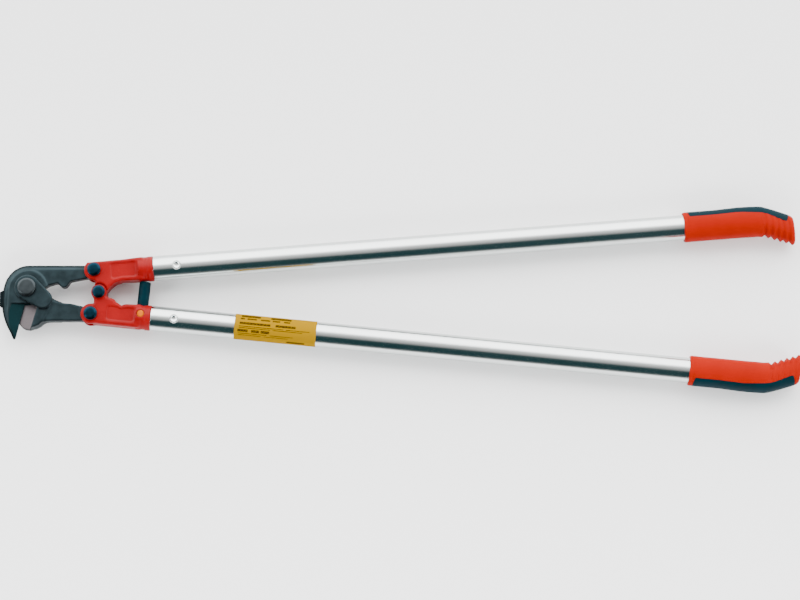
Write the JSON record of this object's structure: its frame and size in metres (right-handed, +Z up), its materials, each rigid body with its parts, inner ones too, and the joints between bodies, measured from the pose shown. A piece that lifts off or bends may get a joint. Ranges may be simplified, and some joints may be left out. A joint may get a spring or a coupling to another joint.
{
  "type": "bolt cutters",
  "caption": "Long two-handed bolt cutters: hooked jaw shearing over a lower blade, forged toggle arms, tubular handles with moulded grips, shown closed.",
  "frame": {"origin": "on the axis of the main pivot bolt, at the surface that the tool lies on", "axes": "+X from the jaws towards the grips, +Z up out of the surface along the pivot bolts, +Y towards the upper handle, whose jaw is the hook"},
  "size_m": [0.9498, 0.2252, 0.035],
  "materials": {
    "jaws": "dark phosphated forged tool steel, satin",
    "pivot_steel": "zinc phosphated turned steel, dull grey",
    "arm_paint": "red stoved enamel on forged steel, semi-gloss",
    "tube_metal": "clear anodised drawn aluminium tube, bright",
    "grip_shell": "orange-red moulded plastic, satin",
    "grip_soft": "black soft-touch elastomer, matte",
    "black_fastener": "black oxide steel, oiled",
    "buffer_rubber": "black solid rubber",
    "amber_pin": "amber plastic cap, gloss",
    "label_film": "yellow printed label film, gloss"
  },
  "bodies": {
    "lower_handle": {"lower_arm": "arm_paint", "lower_tube": "tube_metal", "lower_tube_pin": "tube_metal", "lower_grip": "grip_shell", "lower_grip_pad": "grip_soft", "lower_toggle_bolt": "black_fastener", "lower_toggle_washer": "black_fastener", "lower_toggle_nut": "black_fastener", "centre_hinge_bolt": "black_fastener", "centre_hinge_washer": "black_fastener", "centre_hinge_nut": "black_fastener", "stop_buffer": "buffer_rubber", "buffer_pin": "amber_pin", "rating_label": "label_film"},
    "upper_handle": {"upper_arm": "arm_paint", "upper_tube": "tube_metal", "upper_tube_pin": "tube_metal", "upper_grip": "grip_shell", "upper_grip_pad": "grip_soft", "upper_toggle_bolt": "black_fastener", "upper_toggle_washer": "black_fastener", "upper_toggle_nut": "black_fastener"},
    "blade_jaw": {"blade_jaw": "jaws", "pivot_strap": "jaws", "strap_dowel": "pivot_steel", "main_pivot_bolt": "pivot_steel", "pivot_washer": "pivot_steel", "pivot_nut": "pivot_steel"},
    "hook_jaw": {"hook_jaw": "jaws"}
  },
  "joints": [
    {"name": "handle_hinge", "type": "hinge", "parent": "lower_handle", "child": "upper_handle", "pos_m": [0.08519, -0.00536, 0.0175], "axis": [0, 0, 1], "range_deg": [0, 75]},
    {"name": "blade_jaw_pivot", "type": "hinge", "parent": "lower_handle", "child": "blade_jaw", "pos_m": [0.07583, -0.03122, 0.0175], "axis": [0, 0, 1], "range_deg": [0, 44.4]},
    {"name": "hook_jaw_pivot", "type": "hinge", "parent": "blade_jaw", "child": "hook_jaw", "pos_m": [0, 0, 0.0175], "axis": [0, 0, 1], "range_deg": [-13.6, 0]}
  ],
  "couplings": [
    {"joint": "blade_jaw_pivot", "follows": "handle_hinge", "ratio": 0.5904},
    {"joint": "hook_jaw_pivot", "follows": "handle_hinge", "ratio": -0.1808}
  ]
}
